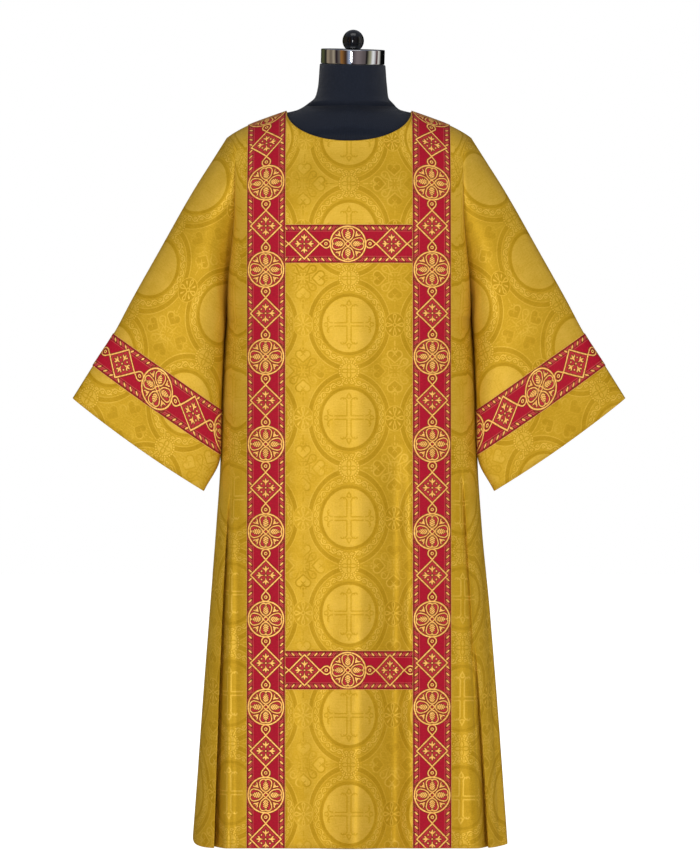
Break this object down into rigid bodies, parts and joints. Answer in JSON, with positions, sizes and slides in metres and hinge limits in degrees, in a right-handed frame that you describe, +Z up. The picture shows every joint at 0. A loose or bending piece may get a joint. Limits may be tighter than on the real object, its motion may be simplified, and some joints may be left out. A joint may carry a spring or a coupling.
{
  "type": "dalmatic on a limbless dress form",
  "caption": "Long liturgical tunic with wide open sleeves, of gold damask with crimson galloon, hanging on a plain black torso form with a pole and round base.",
  "frame": {"origin": "centre of the stand base's underside, on the floor", "axes": "+Z up; the garment's front faces -Y; +X is to the right of someone facing the front"},
  "size_m": [0.9882, 0.3245, 1.4617],
  "materials": {
    "gold_brocade": "satin-faced gold damask with a woven tone-on-tone cross roundel",
    "crimson_galloon": "woven crimson galloon with a gold figure and rope borders",
    "black_jersey": "matt black stretch jersey, pulled smooth",
    "chrome_plate": "mirror chrome",
    "black_knob": "glossy black lacquer",
    "grey_enamel": "semi-gloss grey stove enamel"
  },
  "bodies": {
    "root": {"front_panel": "gold_brocade", "back_panel": "gold_brocade", "sleeve_left": "gold_brocade", "sleeve_right": "gold_brocade", "orphrey_front_left": "crimson_galloon", "orphrey_front_right": "crimson_galloon", "orphrey_back_left": "crimson_galloon", "orphrey_back_right": "crimson_galloon", "bar_front_upper": "crimson_galloon", "bar_front_lower": "crimson_galloon", "bar_back_upper": "crimson_galloon", "bar_back_lower": "crimson_galloon", "sleeve_band_left": "crimson_galloon", "sleeve_band_right": "crimson_galloon", "form_torso": "black_jersey", "neck_cap": "chrome_plate", "neck_knob": "black_knob", "pole": "grey_enamel", "base": "grey_enamel"}
  },
  "joints": []
}
